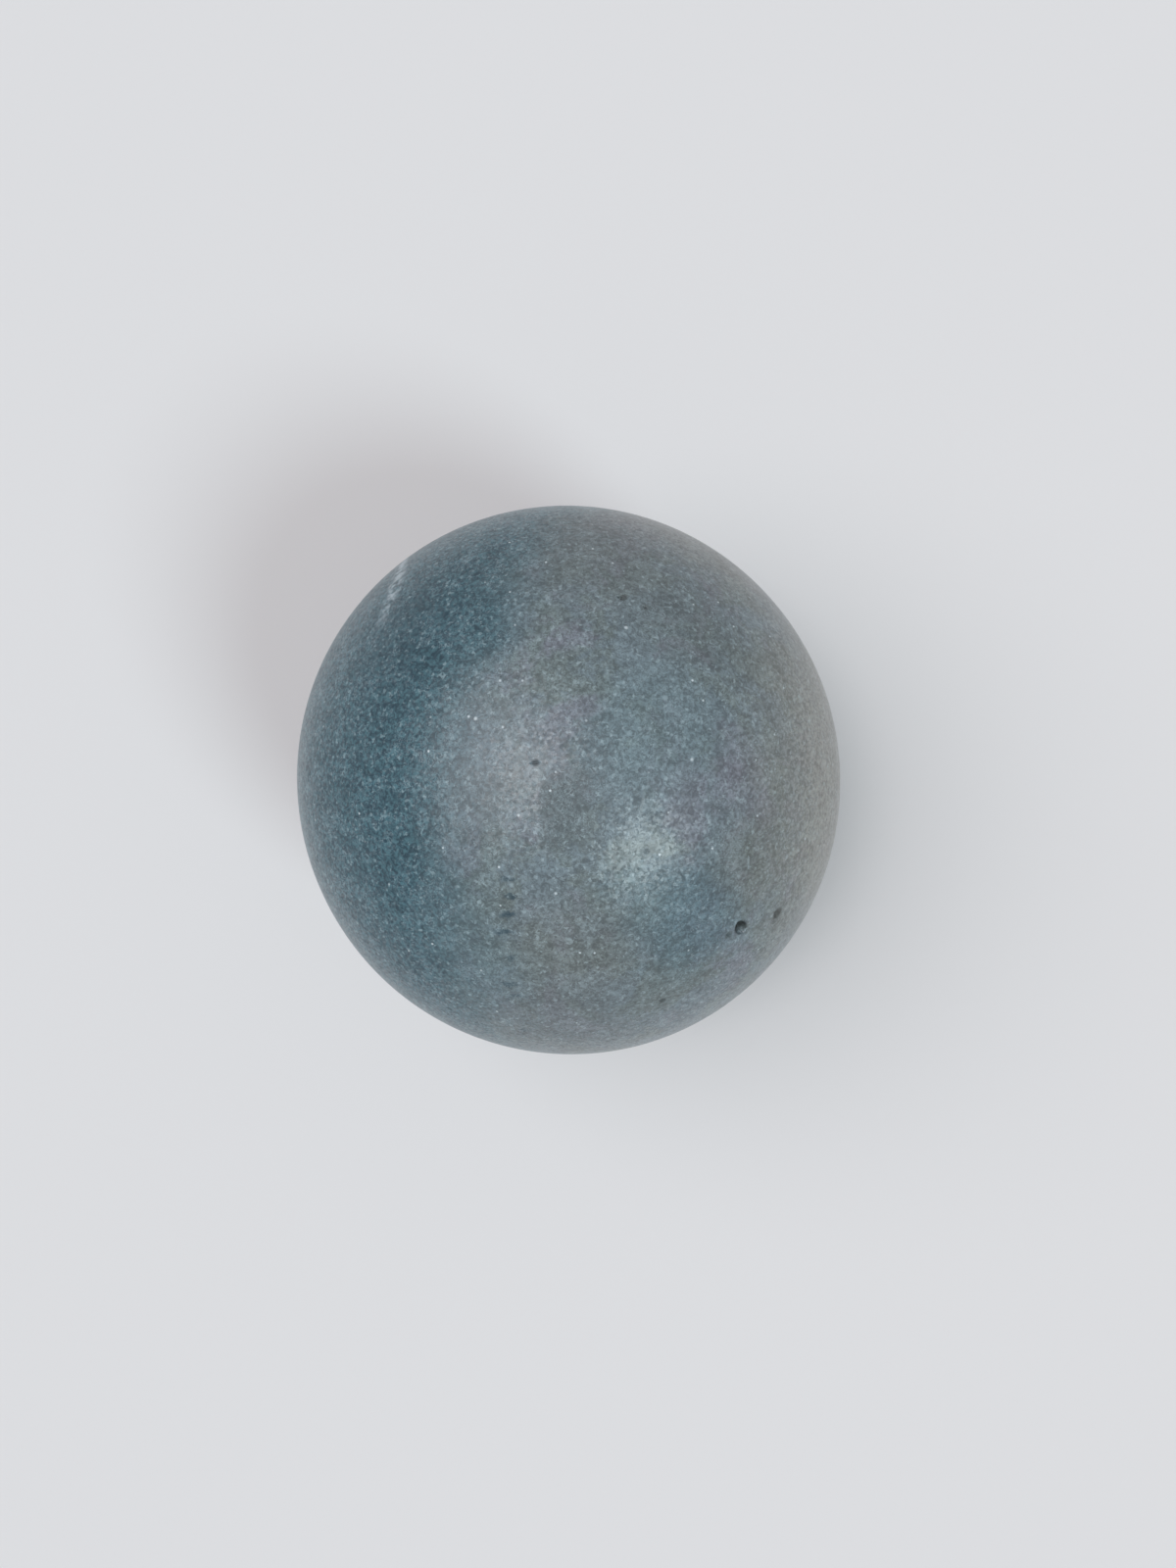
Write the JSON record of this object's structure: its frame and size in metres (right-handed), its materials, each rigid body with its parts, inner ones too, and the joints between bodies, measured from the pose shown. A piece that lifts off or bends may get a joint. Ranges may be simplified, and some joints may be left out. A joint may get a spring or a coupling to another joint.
{
  "type": "trolleite sphere",
  "caption": "Hand-ground solid ball of blue-grey trolleite rock, satin polished, slightly longer one way, with a few small open pits.",
  "frame": {"origin": "centre of the ball", "axes": "+Y along the slightly longer diameter, +Z through the middle of the show face, whose main pit lies towards +X and -Y"},
  "size_m": [0.0526, 0.0534, 0.0526],
  "materials": {
    "stone": "satin polish on fine-grained rock"
  },
  "bodies": {
    "root": {"stone_ball": "stone"}
  },
  "joints": []
}
